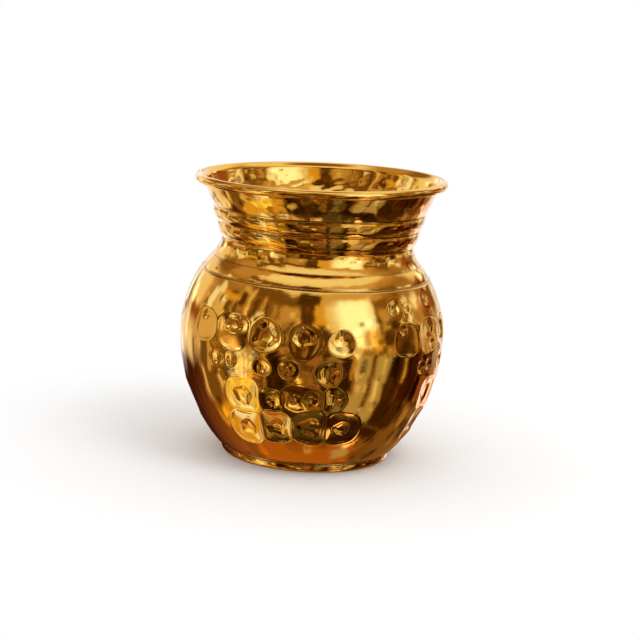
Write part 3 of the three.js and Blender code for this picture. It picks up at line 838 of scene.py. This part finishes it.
def domeColor(a, e):
    # each card covers those before it, and small patches of clutter then brighten or darken by exp(lift).
    # Sines of azimuth and elevation let all the edges wander by a degree or so
    color = toneAt(np.interp(e, domeLevels[:, 0], domeLevels[:, 1]))
    broadA = wander["sideways"] * np.sin(0.21 * e + 0.9 * np.sin(0.11 * a))
    broadE = wander["upwards"] * np.sin(0.17 * a + 0.6 * np.sin(0.13 * e))
    wanderA = a + broadA + wander["fine"] * np.sin(0.6 * e + 0.17 * a)
    wanderE = e + broadE + wander["fine"] * np.sin(0.55 * a + 0.2 * e)
    for *where, tone in domeCards:
        target = np.array(cardTints[tone]) if isinstance(tone, str) else toneAt(tone)
        color += cardCover(wanderA, wanderE, *where)[..., None] * (target - color)
    dice = np.random.default_rng(clutter["seed"])
    lift = np.zeros_like(a)
    for _ in range(clutter["patches"]):
        where = dice.uniform(-180, 180), dice.uniform(clutter["lowest"], clutter["highest"])
        size = dice.uniform(*clutter["wide"]), dice.uniform(*clutter["tall"])
        change = dice.choice((-clutter["darker"], clutter["lighter"]))
        lift += change * cardCover(wanderA, wanderE, *where, *size, clutter["soft"])
    return color * np.exp(np.clip(lift, clutter["least"], clutter["most"]))[..., None]


def cardMesh(name, points, color, cover=1.0, poles=(None, None), closed=True):
    # a grid that glows with its points' colours, clear where its cover is 0, and seen in the metal only
    card = gridMesh(name, points, False, poles, closed)
    tints = color.reshape(-1, 3)
    if poles[0] is not None:
        tints = np.vstack([tints, color[0].mean(axis=0), color[-1].mean(axis=0)])
    layer = card.data.color_attributes.new("cards", "FLOAT_COLOR", "POINT")
    cover = np.broadcast_to(np.ravel(cover), len(tints))
    layer.data.foreach_set("color", np.column_stack([tints, cover]).astype(np.float32).ravel())
    material = bpy.data.materials.new(name)
    material.use_nodes = True
    material.node_tree.nodes.clear()
    s = Shade(material.node_tree)
    tint = s.add("ShaderNodeAttribute", {"attribute_name": "cards"}, {}, "Color")
    here = s.add("ShaderNodeAttribute", {"attribute_name": "cards"}, {}, "Alpha")
    glow = s.add("ShaderNodeMixShader", {}, {0: here, 1: s.add("ShaderNodeBsdfTransparent"),
                                             2: s.add("ShaderNodeEmission", {}, {"Color": tint})})
    s.add("ShaderNodeOutputMaterial", {}, {"Surface": glow})
    card.data.materials.append(material)
    card.visible_camera = card.visible_diffuse = card.visible_shadow = card.visible_transmission = False
    return card


def makeDome():
    # sphere of (azimuth, elevation), coloured at its points: turned(r cos e, r sin e, a)
    azimuth = (np.arange(studio["columns"]) / studio["columns"] * 2 - 1) * np.pi
    elevation = np.linspace(-studio["lastRow"], studio["lastRow"], studio["rows"])
    color = domeColor(*np.meshgrid(np.degrees(azimuth), elevation))
    reach = studio["domeRadius"] * 1000
    rise = np.radians(elevation)[:, None]
    points = turned(reach * np.cos(rise), reach * np.sin(rise), azimuth[None, :])
    return cardMesh("cardDome", points, color, poles=((0, 0, -reach), (0, 0, reach)))


# a dark card close behind the belly on the left, too low for the neck to see: maroon at the back and top,
# rust to the front and below, with soft streaks and soft edges. The metal sees it through the floor
flag = dict(radius=120, left=-176, right=-96, low=-150, high=6, frontward=0.9, downward=1.1, rustFrom=0.78,
            streaks=0.10, softEdge=0.14, ripple=0.02, columns=120, rows=90)


def makeFlag():
    # part of a cylinder of (bearing, height). With t along it and k down it, both from 0 to 1, its colour
    # goes from maroon to rust by frontward t + downward k - rustFrom and sines of both, and its cover fades
    # to 0 at the top and the ends
    bearing = np.linspace(flag["left"], flag["right"], flag["columns"])[None, :]
    height = np.linspace(flag["low"], flag["high"], flag["rows"])[:, None]
    t = (bearing - flag["left"]) / (flag["right"] - flag["left"])
    k = (flag["high"] - height) / (flag["high"] - flag["low"])
    streaks = flag["streaks"] * np.sin(40 * t + 9 * k) * np.sin(16 * k + 3)
    rust = flag["frontward"] * t + flag["downward"] * k - flag["rustFrom"] + streaks
    rust = np.clip(rust, 0, 1)[..., None]
    color = np.array(cardTints["maroon"]) * (1 - rust) + np.array(cardTints["rust"]) * rust
    toEdge = np.minimum(k + flag["ripple"] * np.sin(23 * t), np.minimum(t, 1 - t))
    edge = np.clip(toEdge / flag["softEdge"], 0, 1)
    cover = edge ** 2 * (3 - 2 * edge)
    points = turned(flag["radius"], height, np.radians(bearing))
    return cardMesh("lowFlag", points, color, cover, closed=False)


def makeFloor():
    # disc of (radius, angle) at height 0, white beyond the shadow
    radius = np.linspace(studio["floorStart"], studio["floorRadius"] * 1000, studio["floorRows"])
    points = turned(radius[:, None], 0.0, angles(studio["floorColumns"])[None, :])
    floor = gridMesh("floor", points, False, ((0, 0, 0), None))
    material = bpy.data.materials.new("floor")
    material.use_nodes = True
    material.node_tree.nodes.clear()
    s = Shade(material.node_tree)
    where = s.add("ShaderNodeTexCoord", {}, {}, "Object")
    away = s.add("ShaderNodeVectorMath", {"operation": "LENGTH"}, {0: where}, "Value")
    pale = studio["floorColor"]
    matt = s.add("ShaderNodeBsdfDiffuse", {}, {"Color": (pale, pale, pale, 1)})
    white = s.add("ShaderNodeEmission", {}, {"Color": (1, 1, 1, 1), "Strength": 1.0})
    toCamera = s.add("ShaderNodeLightPath", {}, {}, "Is Camera Ray")
    toMetal = s.add("ShaderNodeLightPath", {}, {}, "Is Glossy Ray")
    factor = away.between(studio["whiteFrom"], studio["whiteTo"]) * (toCamera + toMetal)
    surface = s.add("ShaderNodeMixShader", {}, {0: factor, 1: matt, 2: white})
    s.add("ShaderNodeOutputMaterial", {}, {"Surface": surface})
    floor.data.materials.append(material)
    floor.visible_glossy = False
    return floor


def makeWorld():
    world = bpy.data.worlds.new("studio")
    bpy.context.scene.world = world
    world.use_nodes = True
    world.node_tree.nodes.clear()
    s = Shade(world.node_tree)
    sky = s.add("ShaderNodeBackground", {}, {"Color": (1, 1, 1, 1), "Strength": 1.0})
    s.add("ShaderNodeOutputWorld", {}, {"Surface": sky})


def makeLamp():
    look = studio["lamp"]
    data = bpy.data.lights.new("softLamp", "AREA")
    data.shape = "DISK"
    data.size = look["size"]
    data.energy = look["power"]
    lamp = bpy.data.objects.new("softLamp", data)
    lamp.matrix_world = Matrix.Translation(look["place"]) @ (
        -Vector(look["place"])).to_track_quat("-Z", "Y").to_matrix().to_4x4()
    lamp.visible_glossy = False
    bpy.context.scene.collection.objects.link(lamp)


makeDome()
makeFlag()
makeFloor()
makeWorld()
makeLamp()
print("made the studio")


# camera: the photograph's view, slightly from above and a little rolled, fitted to the pot's outline

lens = dict(distance=0.460668, elevation=0.1988, roll=0.0649, target=(0, 0, 0.036),
            aside=-0.004216, above=0.000376, focal=97.14, sensor=36, nearest=0.01)


def makeCamera():
    # it stands at elevation radians above the target's level, and is turned by its roll. Its aim is off the
    # target by aside and above, which are tangents
    e, roll = lens["elevation"], lens["roll"]
    view = np.array([0, math.cos(e), -math.sin(e)])
    level = np.array([1, 0, 0])
    upright = np.array([0, math.sin(e), math.cos(e)])
    right = math.cos(roll) * level + math.sin(roll) * upright
    up = -math.sin(roll) * level + math.cos(roll) * upright
    forward = unit(view - lens["aside"] * right - lens["above"] * up)
    right = unit(right - right.dot(forward) * forward)
    up = np.cross(right, forward)
    place = np.array(lens["target"]) - lens["distance"] * view
    data = bpy.data.cameras.new("camera")
    data.lens = lens["focal"]
    data.sensor_width = lens["sensor"]
    data.clip_start = lens["nearest"]
    camera = bpy.data.objects.new("camera", data)
    rows = np.column_stack([right, up, -forward, place])
    camera.matrix_world = Matrix([*rows.tolist(), [0, 0, 0, 1]])
    bpy.context.scene.collection.objects.link(camera)
    bpy.context.scene.camera = camera


makeCamera()
bpy.context.scene.view_settings.view_transform = "Standard"
print("placed the camera")
